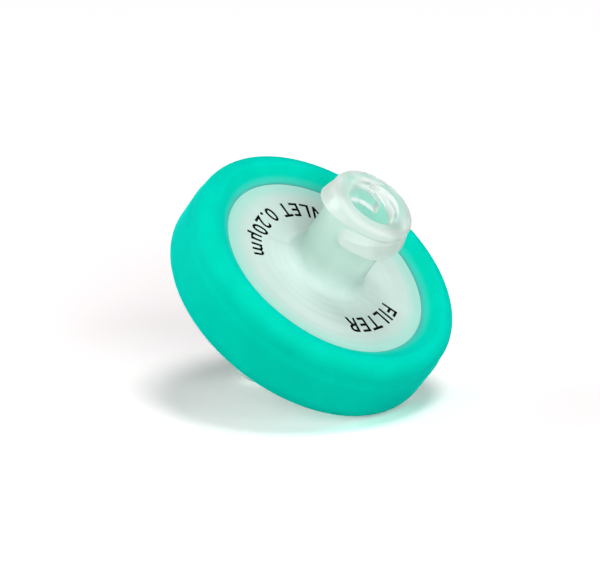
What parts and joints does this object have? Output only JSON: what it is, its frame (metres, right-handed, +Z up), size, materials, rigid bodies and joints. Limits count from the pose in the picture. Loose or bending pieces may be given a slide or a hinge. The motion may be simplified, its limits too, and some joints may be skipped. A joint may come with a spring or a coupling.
{
  "type": "syringe filter",
  "caption": "Round overmoulded syringe filter with a female luer lock inlet and a male luer slip outlet, lying on its ring edge and outlet tip.",
  "frame": {"origin": "on the surface the filter lies on, under the middle of its bounding box", "axes": "+Z up from that surface; the filter's axis lies in the XZ plane, leaning 39.15 degrees from +Z towards +X at the inlet end"},
  "size_m": [0.0212, 0.0238, 0.0191],
  "materials": {
    "clear_housing": "translucent natural polypropylene, smooth moulded",
    "membrane": "matt white porous membrane",
    "coloured_ring": "satin turquoise overmoulded polypropylene"
  },
  "bodies": {
    "root": {"inlet_housing": "clear_housing", "outlet_housing": "clear_housing", "membrane": "membrane", "overmould_ring": "coloured_ring"}
  },
  "joints": []
}
